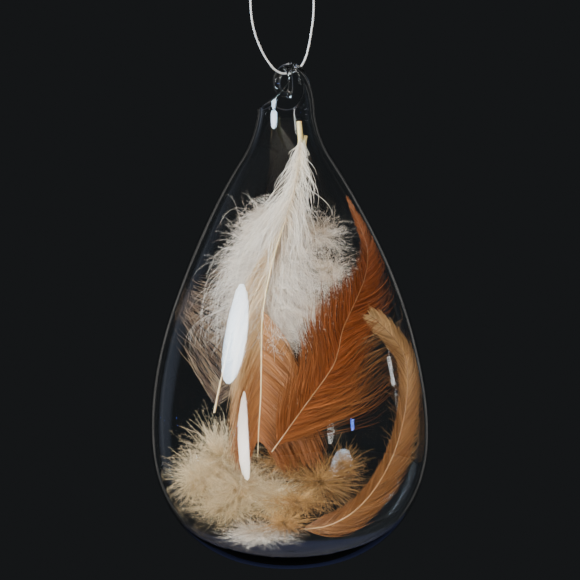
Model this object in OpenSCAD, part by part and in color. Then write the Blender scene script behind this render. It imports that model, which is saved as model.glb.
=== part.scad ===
// Hand-blown glass drop on a thread, filled with loose feathers.
// Millimetres. The origin is the hang point, at the top of the thread loop, and +Z is up.

/* [Glass drop] */
// Diameter of the belly
belly_d = 80; // [76:1:84]
// Height of the belly above the bottom
belly_z = 40.5; // [39:0.5:42]
// Height at which the neck begins
neck_z = 130; // [129:0.5:131]
// Diameter of the neck
neck_d = 16.8; // [16:0.2:17.6]
// Height of the crown that the hook is drawn from
crown_z = 145; // [144.5:0.5:146]
// Thickness of the blown wall
wall = 1.2; // [1:0.1:1.4]
// Extra thickness where the glass gathers at the bottom
base_extra = 1; // [0:0.1:1.5]

/* [Mouth] */
// Radius of the scooped, slanting cut that opens the neck
mouth_r = 15; // [14:0.5:16]
// How far the middle of the cut is to the left of the axis
mouth_left = 12.3; // [12:0.1:13]
// Height of the middle of the cut above the bottom
mouth_z = 145.4; // [145:0.1:146]
// How far the glass reaches back from the middle where the hook is drawn from it
tongue_w = 1.2; // [1:0.1:1.3]
// Heights between which the back of the neck narrows to that reach
tongue_from = 131; // [130:0.5:132]
tongue_to = 141; // [140:0.5:141]

/* [Hook] */
// Radius of the eye, at the middle of its rod
eye_r = 3.6; // [3.5:0.1:4]
// Radius of the glass rod
rod_r = 1; // [0.8:0.05:1]
// Height of the eye's centre above the bottom
eye_z = 139.4; // [139:0.1:140]
// How far the eye sits to the left of the drop's axis
eye_shift = 0.7; // [0.5:0.1:1]
// Turn of the eye's hole about the vertical, from straight across
eye_turn = 31.4; // [28:0.2:35]

/* [Thread] */
// Diameter of the nylon thread
thread_d = 0.6; // [0.5:0.1:0.8]
// Turn of the thread loop about the vertical, from straight across
loop_turn = 40; // [38:0.5:42]
// Length of each cut tail above the knot
tail_len = 7; // [4:1:10]

/* [Feathers] */
// Thickness of a vane at its shaft
vane_t = 1; // [0.8:0.1:1.2]
// Thickness of the white plume's down
down_t = 7; // [5:0.5:7]

/* [Hidden] */
$fn = 64;
belly_r = belly_d / 2;
neck_r = neck_d / 2;
thread_r = thread_d / 2;
clear = 0.15;           // between the thread and the glass, and the thread and the knot
base_power = 2.3;       // 2 would be an ellipse, and more is squarer
gather_z = 15;          // the wall thickens below this height
knot_h = 2.8;
knot_r = 1.1;
crown_at = [3.2, 0, 143.1];
crown_r = 1.3;
bead_at = [0.9, -1.3, 135.3];
bead_r = 1.25;

clear_glass = [0.86, 0.92, 0.95, 0.35];
nylon = "white";
ivory = "#e9d9a8";
white_down = "#e6e1d8";
tan = "#c08a4c";
rust = "#a8501c";
golden = "#c2874a";
brown = "#6b4a33";
cream = "#cdb98f";

// The loop in its own upright plane, as [along, up]: down from the knot to the eye and back.
loop_low = -48.6;
loop_route = [
    [-0.45, -0.4], [-1.8, -3], [-4.5, -7], [-7.8, -12], [-10.2, -18], [-11.5, -24], [-11.7, -30],
    [-10.7, -36.5], [-8.2, -42], [-5.3, -45.8], [-2.7, -47.9], [0, loop_low], [3.3, -48],
    [6.5, -46.3], [8.5, -43.6], [9.8, -40], [10.9, -35.5], [11.8, -30], [11.7, -24],
    [10.4, -18], [7.8, -12], [4.5, -7], [1.8, -3], [0.45, -0.4]
];

// Where the bottom of the drop is, under the hang point.
drop_at = [eye_shift, 0, loop_low + thread_r + clear + rod_r - eye_r - eye_z];

// The shafts of the feathers, from the top down, as [right, back, up] from the drop's bottom.
plume_line = [
    [3.7, -1, 127.5], [3.9, -1.5, 120], [2, -2.5, 108], [-1, -4, 98], [-3, -5, 92], [-5.8, -7, 81],
    [-7.4, -9, 71], [-7.7, -11, 62], [-8, -13, 50], [-8.7, -14.5, 40], [-9, -15, 33]
];
stub_line = [[5.6, 0.6, 123.5], [5.2, 1.2, 121], [4.8, 2.2, 118], [4.5, 3.4, 114]];
rust_line = [
    [16.6, -5, 106], [20, -6.2, 98], [22, -7.2, 92], [22.2, -10, 87], [20.8, -13, 81],
    [17.6, -17, 74], [14.8, -19.5, 68], [13.4, -21.5, 62], [11.2, -22.5, 57], [3, -24, 46],
    [-5, -23, 35]
];
sickle_line = [
    [22.5, -16, 72], [26.8, -13.5, 68], [30.6, -10, 63.5], [32.6, -8.5, 59.5], [33.2, -9, 54],
    [32.6, -10, 47], [30.8, -12.5, 39], [27.6, -15, 31], [22.8, -18, 23.5], [16.6, -19.5, 17.5],
    [9.6, -19, 14], [2.6, -17.5, 13]
];
speckled_line = [
    [-11, 4, 90], [-13.5, 5, 82], [-15.2, 6, 75], [-17.4, 7, 64], [-20, 7.5, 53], [-22, 7, 44]
];
side_line = [[31, 5, 64], [34, 5, 55], [35, 5, 45], [34.4, 5, 35], [31, 5, 26]];
cream_line = [[-17, 2, 38], [-18.5, 2, 30], [-21, 2, 22], [-24, 2, 18]];
golden_line = [[2, -4, 24.5], [8, -4, 25], [15, -4, 25.5]];

function unit(v) = v / norm(v);
function bezier(p, t) =
    pow(1 - t, 3) * p[0] + 3 * pow(1 - t, 2) * t * p[1] + 3 * (1 - t) * t * t * p[2] + pow(t, 3) * p[3];
function catmull(a, b, c, d, t) =
    0.5 * (2 * b + (c - a) * t + (2 * a - 5 * b + 4 * c - d) * t * t + (3 * b - a - 3 * c + d) * t * t * t);

// A smooth line through hand-placed points, with so many steps between each two.
function smooth(p, steps) = let (last = len(p) - 1) concat(
    [for (i = [0 : last - 1], k = [0 : steps - 1])
        catmull(p[max(i - 1, 0)], p[i], p[i + 1], p[min(i + 2, last)], k / steps)],
    [p[last]]
);

// The direction of a line at one of its points, and the stretch of it between two points.
function heading(p, i) = unit(p[min(i + 1, len(p) - 1)] - p[max(i - 1, 0)]);
function stretch(p, from, to) = [for (i = [from : to]) p[i]];

// The drop's outline from the bottom to the crown: a squarish bowl, a straight flank, a soft
// shoulder and a domed neck.
bowl = [for (a = [0 : 6 : 84])
    [belly_r * pow(sin(a), 2 / base_power), belly_z * (1 - pow(cos(a), 2 / base_power))]];
flank = [[belly_r, belly_z], [belly_r, belly_z + 24], [belly_r - 12.5, 95.5], [13, 117.5]];
shoulder = [[13, 117.5], [11, 120.5], [9.2, 124.5], [neck_r, neck_z]];
dome = [[neck_r, neck_z], [neck_r - 0.2, neck_z + 7], [6.3, crown_z - 0.5], [0, crown_z]];
outline = concat(
    bowl,
    [for (k = [0 : 13]) bezier(flank, k / 14)],
    [for (k = [0 : 5]) bezier(shoulder, k / 6)],
    [for (k = [0 : 10]) bezier(dome, k / 10)]
);

// The inner face, set in by the wall, which is thicker at the very bottom.
function wall_at(z) = wall + base_extra * pow(max(0, 1 - z / gather_z), 2);
inner = [for (i = [0 : len(outline) - 1])
    let (d = heading(outline, i), p = outline[i] + wall_at(outline[i][1]) * [-d[1], d[0]])
    [i == 0 || i == len(outline) - 1 ? 0 : p[0], p[1]]];

// Joins rings of points, all of one count, into one closed skin.
module loft(rings) {
    count = len(rings[0]);
    last = len(rings) - 1;
    sides = [for (i = [0 : last - 1], k = [0 : count - 1])
        let (a = i * count + k, b = i * count + (k + 1) % count)
        each [[a, b, a + count], [b, b + count, a + count]]];
    start = [for (k = [count - 1 : -1 : 0]) k];
    end = [for (k = [0 : count - 1]) last * count + k];
    polyhedron(points = [for (ring = rings) each ring], faces = concat([start], sides, [end]));
}

// A round tube along a line, thinning evenly from one end to the other. "side" is any
// direction that the line never runs along.
module tube(line, r_start, r_end, side) {
    last = len(line) - 1;
    loft([for (i = [0 : last])
        let (t = heading(line, i), u = unit(cross(side, t)), v = cross(t, u))
        let (r = r_start + (r_end - r_start) * i / last)
        [for (a = [0 : 45 : 315]) line[i] + r * (cos(a) * v + sin(a) * u)]]);
}

// A lens-shaped blade on both sides of a line. The widths to the left and the right, and the
// thickness, are [share of the way down, size] pairs. "face" is the way the blade faces.
module blade(line, left, right, thick, face) {
    last = len(line) - 1;
    section = [
        [-1, 0], [-0.6, 0.42], [0, 0.5], [0.6, 0.42], [1, 0], [0.6, -0.42], [0, -0.5], [-0.6, -0.42]
    ];
    loft([for (i = [0 : last])
        let (t = heading(line, i), w = unit(cross(face, t)), n = cross(t, w), s = i / last)
        [for (p = section)
            line[i] + w * p[0] * lookup(s, p[0] < 0 ? left : right) + n * p[1] * lookup(s, thick)]]);
}

// A soft lump of loose down.
module puff(centre, r, half_height)
    translate(centre) rotate_extrude()
        polygon([for (a = [-90 : 6 : 90]) [r * cos(a), half_height * sin(a)]]);

// A straight rod between two points.
module rod(from, to, r_from, r_to) {
    d = to - from;
    translate(from) rotate([0, acos(d[2] / norm(d)), atan2(d[1], d[0])])
        cylinder(h = norm(d), r1 = r_from, r2 = r_to);
}

// Everything that hangs from the eye is drawn from the bottom of the drop.
module hung() translate(drop_at) children();

module thread_knot() color(nylon) {
    $fn = 48;
    tail_lean = 32;
    rotate_extrude() union() {
        square([knot_r, knot_h]);
        for (k = [0 : 2]) translate([knot_r, knot_h * (k + 0.5) / 3]) circle(r = knot_h / 6);
    }
    for (lean = [-tail_lean, tail_lean])
        translate([0, 0, knot_h / 2]) rotate([0, lean, loop_turn])
            cylinder(h = tail_len + knot_h / 2, r = thread_r);
}

module thread_loop() color(nylon)
    rotate([0, 0, loop_turn])
        tube([for (p = smooth(loop_route, 3)) [p[0], 0, p[1]]], thread_r, thread_r, [0, 1, 0]);

module glass_drop() color(clear_glass)
    hung() difference() {
        rotate_extrude() polygon(concat(outline, [for (i = [len(inner) - 1 : -1 : 0]) inner[i]]));
        translate([-mouth_left, 0, mouth_z]) rotate([90, 0, 0])
            cylinder(h = 2 * neck_d, r = mouth_r, center = true);
        rotate([90, 0, 90]) linear_extrude(height = 2 * neck_d, center = true) polygon([
            [tongue_w, crown_z + 1], [tongue_w, tongue_to], [neck_r, tongue_from],
            [neck_d, tongue_from], [neck_d, crown_z + 1]
        ]);
    }

module glass_hook() color(clear_glass)
    hung() {
        eye_top = [-eye_shift, 0, eye_z + eye_r];
        translate([-eye_shift, 0, eye_z]) rotate([0, 90, eye_turn])
            rotate_extrude() translate([eye_r, 0]) circle(r = rod_r);
        rod(eye_top, crown_at, 1.1 * rod_r, crown_r);
        translate(eye_top) sphere(r = 1.1 * rod_r);
        translate(crown_at) sphere(r = crown_r);
        translate(bead_at) sphere(r = bead_r);
    }

// White plume: a cut quill in the neck, long loose down, then a tan vane.
plume = smooth(plume_line, 3);
module plume_quill() color(ivory) hung() tube(plume, 0.8, 0.25, [0, 1, 0]);
module plume_stub() color(ivory) hung() tube(smooth(stub_line, 2), 0.55, 0.3, [0, 1, 0]);
module plume_down() color(white_down) hung()
    blade(
        stretch(plume, 3, 18),
        left = [[0, 1], [0.12, 6], [0.2, 13], [0.29, 17], [0.4, 19], [0.6, 19], [0.8, 15], [1, 5]],
        right = [[0, 1], [0.12, 5], [0.2, 9], [0.29, 13], [0.4, 18], [0.6, 22], [0.8, 22], [1, 16]],
        thick = [[0, 1.5], [0.3, down_t], [1, 0.8 * down_t]],
        face = [0, -1, 0]
    );
module plume_vane() color(tan) hung()
    blade(
        stretch(plume, 19, 30),
        left = [[0, 4.5], [0.6, 4], [1, 2]],
        right = [[0, 8], [0.3, 14], [0.7, 17], [1, 13]],
        thick = [[0, vane_t], [1, vane_t]],
        face = [0, -1, 0]
    );

// Rust feather: its tip leans on the right shoulder and its quill ends low in the middle.
rust_shaft = smooth(rust_line, 3);
module rust_quill() color(ivory) hung() tube(rust_shaft, 0.15, 0.7, [0, 1, 0]);
module rust_vane() color(rust) hung()
    blade(
        stretch(rust_shaft, 1, 28),
        left = [[0, 0.4], [0.2, 1], [0.4, 3], [0.55, 8], [0.75, 10], [1, 5]],
        right = [[0, 0.6], [0.2, 1.6], [0.3, 3], [0.4, 6], [0.55, 9], [0.85, 14], [1, 8]],
        thick = [[0, 0.5], [0.2, vane_t], [1, vane_t]],
        face = [0.5, -0.85, 0]
    );

// Sickle feather: folded over near its tip and lying along the right wall.
sickle_shaft = smooth(sickle_line, 3);
module sickle_quill() color(ivory) hung() tube(sickle_shaft, 0.2, 0.6, [0, 1, 0]);
module sickle_vane() color(golden) hung()
    blade(
        stretch(sickle_shaft, 1, 32),
        left = [[0, 1.6], [0.15, 2.4], [0.6, 2.4], [0.8, 3], [1, 2]],
        right = [[0, 1.6], [0.15, 2.4], [0.4, 2.4], [0.7, 4.5], [1, 4]],
        thick = [[0, 0.8], [1, vane_t]],
        face = [0.3, -0.95, 0]
    );

// Speckled brown feather, at the back on the left.
speckled_shaft = smooth(speckled_line, 4);
module speckled_quill() color(ivory) hung() tube(speckled_shaft, 0.3, 0.6, [0, 1, 0]);
module speckled_vane() color(brown) hung()
    blade(
        stretch(speckled_shaft, 1, 18),
        left = [[0, 6], [0.3, 14], [0.6, 17], [1, 10]],
        right = [[0, 2], [0.4, 6], [1, 4]],
        thick = [[0, vane_t], [1, vane_t]],
        face = [-0.3, -0.95, 0]
    );

// Fuzzy brown feather, on edge against the right wall.
side_shaft = smooth(side_line, 4);
module side_quill() color(ivory) hung() tube(side_shaft, 0.25, 0.45, [0, 1, 0]);
module side_vane() color(brown) hung()
    blade(
        stretch(side_shaft, 1, 15),
        left = [[0, 2], [0.3, 4.5], [1, 3]],
        right = [[0, 2], [0.3, 4.5], [1, 3]],
        thick = [[0, vane_t], [1, vane_t]],
        face = [1, 0, 0]
    );

// Loose down in the bottom of the drop.
module cream_quill() color(ivory) hung() tube(smooth(cream_line, 3), 0.25, 0.5, [0, 1, 0]);
module cream_down() color(cream) hung() puff([-18.5, 1, 29], 15, 13.5);
module golden_quill() color(ivory) hung() tube(smooth(golden_line, 3), 0.25, 0.45, [0, 1, 0]);
module golden_down() color(golden) hung() puff([8, -4, 25], 10.5, 7);
module white_tuft() color(white_down) hung() puff([-9, -3, 9.5], 10, 3.5);

thread_knot();
thread_loop();
glass_drop();
glass_hook();
plume_quill();
plume_stub();
plume_down();
plume_vane();
rust_quill();
rust_vane();
sickle_quill();
sickle_vane();
speckled_quill();
speckled_vane();
side_quill();
side_vane();
cream_quill();
cream_down();
golden_quill();
golden_down();
white_tuft();
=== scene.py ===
import math

import bpy
import numpy as np
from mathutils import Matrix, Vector


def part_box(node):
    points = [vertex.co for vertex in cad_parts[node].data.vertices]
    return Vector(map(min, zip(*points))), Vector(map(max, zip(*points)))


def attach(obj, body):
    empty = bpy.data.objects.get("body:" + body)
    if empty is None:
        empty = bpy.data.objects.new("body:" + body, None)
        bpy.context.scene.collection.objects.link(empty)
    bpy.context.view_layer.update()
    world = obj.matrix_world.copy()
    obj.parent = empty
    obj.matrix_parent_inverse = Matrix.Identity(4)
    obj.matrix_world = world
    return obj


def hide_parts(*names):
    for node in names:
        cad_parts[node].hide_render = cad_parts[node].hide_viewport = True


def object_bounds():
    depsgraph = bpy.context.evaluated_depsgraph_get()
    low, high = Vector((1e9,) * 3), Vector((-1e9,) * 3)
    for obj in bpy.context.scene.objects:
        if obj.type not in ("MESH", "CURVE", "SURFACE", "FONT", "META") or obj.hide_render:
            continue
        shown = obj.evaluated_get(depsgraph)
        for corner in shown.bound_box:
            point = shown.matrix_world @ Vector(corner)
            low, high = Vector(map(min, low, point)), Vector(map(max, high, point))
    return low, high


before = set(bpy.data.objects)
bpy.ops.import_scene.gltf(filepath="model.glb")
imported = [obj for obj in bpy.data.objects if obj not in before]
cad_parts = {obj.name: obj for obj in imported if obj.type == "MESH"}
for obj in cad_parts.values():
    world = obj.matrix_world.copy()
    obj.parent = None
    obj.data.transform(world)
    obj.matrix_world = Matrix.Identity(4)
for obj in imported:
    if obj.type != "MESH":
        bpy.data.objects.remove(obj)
cadLow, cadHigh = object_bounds()
mm = 0.001
dropLow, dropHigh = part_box("glass_drop")
dropAt = np.array([(dropLow.x + dropHigh.x) / 2, (dropLow.y + dropHigh.y) / 2, dropLow.z])
print("frame loaded")

# The viewer stands level with the drop and looks along +Y.
viewer = {"distance": 0.55, "lens": 119, "aimUp": 0.0794, "aimRight": 0.0005, "rollDeg": 0.7}
camera = bpy.data.objects.new("camera", bpy.data.cameras.new("camera"))
bpy.context.scene.collection.objects.link(camera)
camera.location = (dropAt[0] + viewer["aimRight"], -viewer["distance"], dropAt[2] + viewer["aimUp"])
camera.rotation_euler = (math.radians(90), math.radians(viewer["rollDeg"]), 0)
camera.data.lens = viewer["lens"]
camera.data.sensor_width = 36
camera.data.clip_start, camera.data.clip_end = 0.01, 20
bpy.context.scene.camera = camera


def unit(v):
    return v / np.maximum(np.linalg.norm(v, axis=-1, keepdims=True), 1e-9)


def along(pairs, where):
    # Reads a list of [share, size] pairs.
    return np.interp(where, [p[0] for p in pairs], [p[1] for p in pairs])


def smoothLine(points, count):
    # A smooth line through given points, as evenly spaced points.
    p = np.asarray(points, float)
    last = len(p) - 1
    fine = []
    for i in range(last):
        a, b, c, d = p[max(i - 1, 0)], p[i], p[i + 1], p[min(i + 2, last)]
        for t in np.arange(16) / 16:
            fine.append(0.5 * (2 * b + (c - a) * t + (2 * a - 5 * b + 4 * c - d) * t * t
                               + (3 * b - a - 3 * c + d) * t ** 3))
    fine = np.array(fine + [p[-1]])
    walked = np.r_[0, np.cumsum(np.linalg.norm(np.diff(fine, axis=0), axis=1))]
    even = np.linspace(0, walked[-1], count)
    return np.stack([np.interp(even, walked, fine[:, k]) for k in range(3)], axis=1)


def placeMesh(name, points, quads, triangles=(), marks=None, inFrame=False):
    # Points are in mm from the drop's bottom, unless they are in the frame already.
    points = np.asarray(points, float)
    if not inFrame:
        points = points * mm + dropAt
    quads = np.asarray(quads, np.int32).reshape(-1, 4)
    triangles = np.asarray(triangles, np.int32).reshape(-1, 3)
    data = bpy.data.meshes.new(name)
    data.vertices.add(len(points))
    data.vertices.foreach_set("co", points.astype(np.float32).ravel())
    corners = np.r_[quads.ravel(), triangles.ravel()]
    data.loops.add(len(corners))
    data.loops.foreach_set("vertex_index", corners)
    data.polygons.add(len(quads) + len(triangles))
    starts = np.r_[np.arange(len(quads)) * 4, len(quads) * 4 + np.arange(len(triangles)) * 3]
    data.polygons.foreach_set("loop_start", starts.astype(np.int32))
    data.update(calc_edges=True)
    data.shade_smooth()
    for mark, values in (marks or {}).items():
        layer = data.attributes.new(mark, "FLOAT", "POINT")
        layer.data.foreach_set("value", np.asarray(values, np.float32))
    thing = bpy.data.objects.new(name, data)
    bpy.context.scene.collection.objects.link(thing)
    return thing


def tubeSkin(line, radii, sides=10, firstPoint=0):
    # Points and quads of a closed round tube along a line, with its ends drawn in.
    line = np.asarray(line, float)
    heading = unit(np.gradient(line, axis=0))
    across = unit(np.cross(heading[0], [0.31, 0.83, 0.47]))
    rings = []
    for i, t in enumerate(heading):
        across = unit(across - t * (across @ t))
        other = np.cross(t, across)
        turn = np.linspace(0, 2 * np.pi, sides, endpoint=False)[:, None]
        rings.append(line[i] + radii[i] * (np.cos(turn) * across + np.sin(turn) * other))
    rings = [np.repeat(line[:1], sides, 0)] + rings + [np.repeat(line[-1:], sides, 0)]
    points = np.concatenate(rings)
    r, k = np.meshgrid(np.arange(len(rings) - 1), np.arange(sides), indexing="ij")
    a, b = r * sides + k, r * sides + (k + 1) % sides
    quads = np.stack([a, a + sides, b + sides, b], -1).reshape(-1, 4) + firstPoint
    return points, quads


def joinTubes(tubes):
    # One skin from several tubes, each given as its line, radii and number of sides.
    points, quads, first = [], [], 0
    for line, radii, sides in tubes:
        p, q = tubeSkin(line, radii, sides, first)
        points.append(p)
        quads.append(q)
        first += len(p)
    return np.concatenate(points), np.concatenate(quads)


def newMaterial(name):
    made = bpy.data.materials.new(name)
    made.use_nodes = True
    return made, made.node_tree.nodes, made.node_tree.links, made.node_tree.nodes["Principled BSDF"]


def ramp(nodes, stops):
    node = nodes.new("ShaderNodeValToRGB")
    while len(node.color_ramp.elements) < len(stops):
        node.color_ramp.elements.new(0.5)
    for element, (at, colour) in zip(node.color_ramp.elements, stops):
        element.position = at
        element.color = (*colour, 1)
    return node


def markNode(nodes, mark):
    node = nodes.new("ShaderNodeAttribute")
    node.attribute_name = mark
    return node.outputs["Fac"]


def fillSockets(node, links, values):
    for socket, value in zip(node.inputs, values):
        if isinstance(value, bpy.types.NodeSocket):
            links.new(value, socket)
        else:
            socket.default_value = value
    return node.outputs[0]


def mathNode(nodes, links, kind, *values):
    node = nodes.new("ShaderNodeMath")
    node.operation = kind
    return fillSockets(node, links, values)


def mixNode(nodes, links, kind, share, first, second):
    node = nodes.new("ShaderNodeMixRGB")
    node.blend_type = kind
    return fillSockets(node, links, (share, first, second))


def noiseNode(nodes, links, scale, detail=3, rough=0.5):
    place = nodes.new("ShaderNodeTexCoord")
    node = nodes.new("ShaderNodeTexNoise")
    node.inputs["Scale"].default_value = scale
    node.inputs["Detail"].default_value = detail
    node.inputs["Roughness"].default_value = rough
    links.new(place.outputs["Object"], node.inputs["Vector"])
    return node.outputs["Fac"]


# The blown drop: a squarish bowl, a straight flank, a soft shoulder and a domed neck, opened by
# a slanting scoop. The back of the neck narrows too, to leave the thread room to swing.
blown = {
    "bellyHeight": 40.5, "squareness": 2.3, "wall": 1.2, "gather": 1.0, "gatherHeight": 15,
    "flank": [[40, 40.5], [40, 64.5], [27.5, 95.5], [13, 117.5]],
    "shoulder": [[13, 117.5], [11, 120.5], [9.2, 124.5], [8.4, 130]],
    "dome": [[8.4, 130], [8.2, 137], [6.3, 144.5], [0.02, 145]],
    "scoopRadius": 15, "scoopAt": (-12.3, 145.4), "tongue": [[131, 8.4], [141, 1.2]],
    "hollowTop": 142, "curveSteps": 200, "outlineSteps": 1200,
    "columns": 232, "crowding": 0.72, "rows": 150, "topRows": 42, "topFrom": 120,
    "rimReach": 6, "rimEase": 2.0, "lipRows": 6, "lipSwell": 1.12,
    "ripple": 0.09, "rippleFrom": 30,
    "waves": [[3, 11, 1, 0], [5, -7, 0.6, 1]],  # waves round the wall, climb, share and phase
}


def bezier(p, t):
    p, t = np.asarray(p, float), t[:, None]
    return (1 - t) ** 3 * p[0] + 3 * (1 - t) ** 2 * t * p[1] + 3 * (1 - t) * t * t * p[2] + t ** 3 * p[3]


def blownProfiles():
    # The outer and inner outlines as (radius, height), point for point.
    radius = (dropHigh.x - dropLow.x) / 2 / mm
    t = np.linspace(0, 1, blown["curveSteps"])[:-1]
    a = t * np.pi / 2
    power = 2 / blown["squareness"]
    bowl = np.c_[radius * np.sin(a) ** power, blown["bellyHeight"] * (1 - np.cos(a) ** power)]
    curves = [bezier(blown[part], t) for part in ("flank", "shoulder", "dome")]
    line = np.concatenate([bowl, *curves])
    walked = np.r_[0, np.cumsum(np.linalg.norm(np.diff(line, axis=0), axis=1))]
    even = np.linspace(0, walked[-1], blown["outlineSteps"])
    outer = np.stack([np.interp(even, walked, line[:, k]) for k in (0, 1)], axis=1)
    d = unit(np.gradient(outer, axis=0))
    low = np.maximum(0, 1 - outer[:, 1] / blown["gatherHeight"])
    wall = blown["wall"] + blown["gather"] * low ** 2
    inner = outer + wall[:, None] * np.c_[-d[:, 1], d[:, 0]]
    inner[:, 0] = np.maximum(inner[:, 0], 0.01)
    return outer, inner


outerLine, innerLine = blownProfiles()
rising = np.r_[1, np.diff(innerLine[:, 1])] > 0
hollow = innerLine[(innerLine[:, 1] < blown["hollowTop"]) & rising]
# How far feathers keep off the glass, and how much further in the ones stay that would reach past it.
pressed = {"gap": 0.35, "give": 0.04, "giveUpTo": 4}


def inGlass(points, gap=pressed["gap"]):
    # Presses what would go through the wall back against its inner face.
    p = np.array(points, float)
    p[..., 2] = np.maximum(p[..., 2], hollow[0, 1] + gap)
    room = np.interp(p[..., 2], hollow[:, 1], hollow[:, 0]) - gap
    r = np.hypot(p[..., 0], p[..., 1])
    layered = room - pressed["give"] * np.minimum(r - room, pressed["giveUpTo"])
    share = np.where(r > room, layered, r) / np.maximum(r, 1e-6)
    p[..., 0] *= share
    p[..., 1] *= share
    return p


def makeGlassDrop():
    phi = np.linspace(0, 2 * np.pi, blown["columns"], endpoint=False)
    turn = phi - blown["crowding"] * np.sin(phi)
    start = int(np.argmax(outerLine[:, 1] > blown["topFrom"]))
    upper = outerLine[start:]
    x, y = np.cos(turn)[:, None] * upper[:, 0], np.sin(turn)[:, None] * upper[:, 0]
    z = np.broadcast_to(upper[:, 1], x.shape)
    sx, sz = blown["scoopAt"]
    out = (x - sx) ** 2 + (z - sz) ** 2 < blown["scoopRadius"] ** 2
    out |= (z > blown["tongue"][0][0]) & (y > along(blown["tongue"], z))
    out[:, -1] = True
    rim = start + np.argmax(out, axis=1).astype(float)
    reach = blown["rimReach"]
    weight = np.exp(-0.5 * (np.arange(-reach, reach + 1) / blown["rimEase"]) ** 2)
    rim = np.convolve(np.r_[rim[-reach:], rim, rim[:reach]], weight / weight.sum(), "valid")
    low = np.linspace(0, start, blown["rows"], endpoint=False)
    rise = np.linspace(0, 1, blown["topRows"])
    at = np.concatenate([np.broadcast_to(low, (len(turn), len(low))),
                         start + rise * (rim[:, None] - start)], axis=1)
    steps = np.arange(len(outerLine))

    def skin(line):
        r, h = np.interp(at, steps, line[:, 0]), np.interp(at, steps, line[:, 1])
        calm = np.clip(h / blown["rippleFrom"], 0, 1) * blown["ripple"]
        for around, climb, part, phase in blown["waves"]:
            r = r + calm * part * np.sin(around * turn[:, None] + h / climb + phase)
        return np.stack([r * np.cos(turn)[:, None], r * np.sin(turn)[:, None], h], axis=-1)

    outside, inside = skin(outerLine), skin(innerLine)
    middle = (outside[:, -1] + inside[:, -1]) / 2
    half = (outside[:, -1] - inside[:, -1]) / 2
    up = unit(outside[:, -1] - outside[:, -2])
    size = np.linalg.norm(half, axis=1, keepdims=True) * blown["lipSwell"]
    bend = np.linspace(0, np.pi, blown["lipRows"] + 2)[1:-1]
    lip = np.stack([middle + half * blown["lipSwell"] * np.cos(b) + up * size * np.sin(b) for b in bend], 1)
    grid = np.concatenate([outside, lip, inside[:, ::-1]], axis=1)
    columns, rows = grid.shape[:2]
    c, r = np.meshgrid(np.arange(columns), np.arange(rows - 1), indexing="ij")
    a, b = c * rows + r, (c + 1) % columns * rows + r
    quads = np.stack([a, b, b + 1, a + 1], -1).reshape(-1, 4)
    points = np.concatenate([grid.reshape(-1, 3), [[0, 0, 0], [0, 0, innerLine[0, 1]]]])
    ring = np.arange(columns)
    under = np.stack([np.full(columns, columns * rows), (ring + 1) % columns * rows, ring * rows], -1)
    over = np.stack([np.full(columns, columns * rows + 1), ring * rows + rows - 1,
                     (ring + 1) % columns * rows + rows - 1], -1)
    return placeMesh("glassDrop", points, quads, np.concatenate([under, over]))


def glassFinish():
    made, nodes, links, shader = newMaterial("blownGlass")
    tint = ramp(nodes, [(0.3, (0.95, 0.975, 0.985)), (0.7, (0.985, 0.99, 0.99))])
    links.new(noiseNode(nodes, links, 18), tint.inputs[0])
    links.new(tint.outputs[0], shader.inputs["Base Color"])
    film = ramp(nodes, [(0.45, (0.0, 0.0, 0.0)), (0.8, (0.035, 0.035, 0.035))])
    links.new(noiseNode(nodes, links, 60, 5), film.inputs[0])
    links.new(film.outputs[0], shader.inputs["Roughness"])
    shader.inputs["IOR"].default_value = 1.47
    shader.inputs["Transmission Weight"].default_value = 1.0
    seed = nodes.new("ShaderNodeBump")
    seed.inputs["Strength"].default_value = 0.05
    seed.inputs["Distance"].default_value = 0.0004
    links.new(noiseNode(nodes, links, 90, 2), seed.inputs["Height"])
    links.new(seed.outputs[0], shader.inputs["Normal"])
    # Lamps reach the feathers straight through the thin wall.
    path, clear, mix = (nodes.new(k) for k in ("ShaderNodeLightPath", "ShaderNodeBsdfTransparent",
                                               "ShaderNodeMixShader"))
    clear.inputs["Color"].default_value = (0.96, 0.97, 0.97, 1)
    links.new(path.outputs["Is Shadow Ray"], mix.inputs[0])
    links.new(shader.outputs[0], mix.inputs[1])
    links.new(clear.outputs[0], mix.inputs[2])
    links.new(mix.outputs[0], nodes["Material Output"].inputs["Surface"])
    return made


# The hook is drawn out of the tongue, over to the left and back, and curls round to a bead.
drawn = {
    "curl": {
        "line": [[5.0, 0, 138.2], [4.7, 0, 140.4], [4.0, 0, 142.0], [2.8, 0, 143.0], [1.3, 0.1, 143.3],
                 [-0.2, 0.6, 143.1], [-1.5, 1.5, 142.2], [-2.4, 2.5, 140.8], [-2.7, 3.0, 139.2],
                 [-2.4, 2.8, 137.5], [-1.7, 1.9, 136.2], [-0.7, 0.6, 135.6], [0.3, -0.7, 135.4],
                 [0.9, -1.3, 135.3]],
        "radius": [[0, 1.35], [0.2, 1.3], [0.4, 1.2], [0.6, 1.15], [0.8, 0.95], [1, 0.8]],
        "rings": 60, "sides": 24,
    },
    "strand": {
        "line": [[0.9, -1.3, 135.3], [1.3, -2.3, 136.7], [1.3, -3.0, 138.4], [1.2, -3.0, 140.2],
                 [0.8, -2.2, 141.9], [0.3, -0.8, 142.9], [0.2, 0.3, 143.0]],
        "radius": [[0, 0.85], [0.5, 0.7], [1, 0.9]],
        "rings": 36, "sides": 20,
    },
    "bead": {"at": [0.9, -1.3, 135.2], "radius": 1.15, "rings": 9, "sides": 20, "poleGap": 0.05},
    "grain": 0.17, "easing": 8,
}


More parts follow.
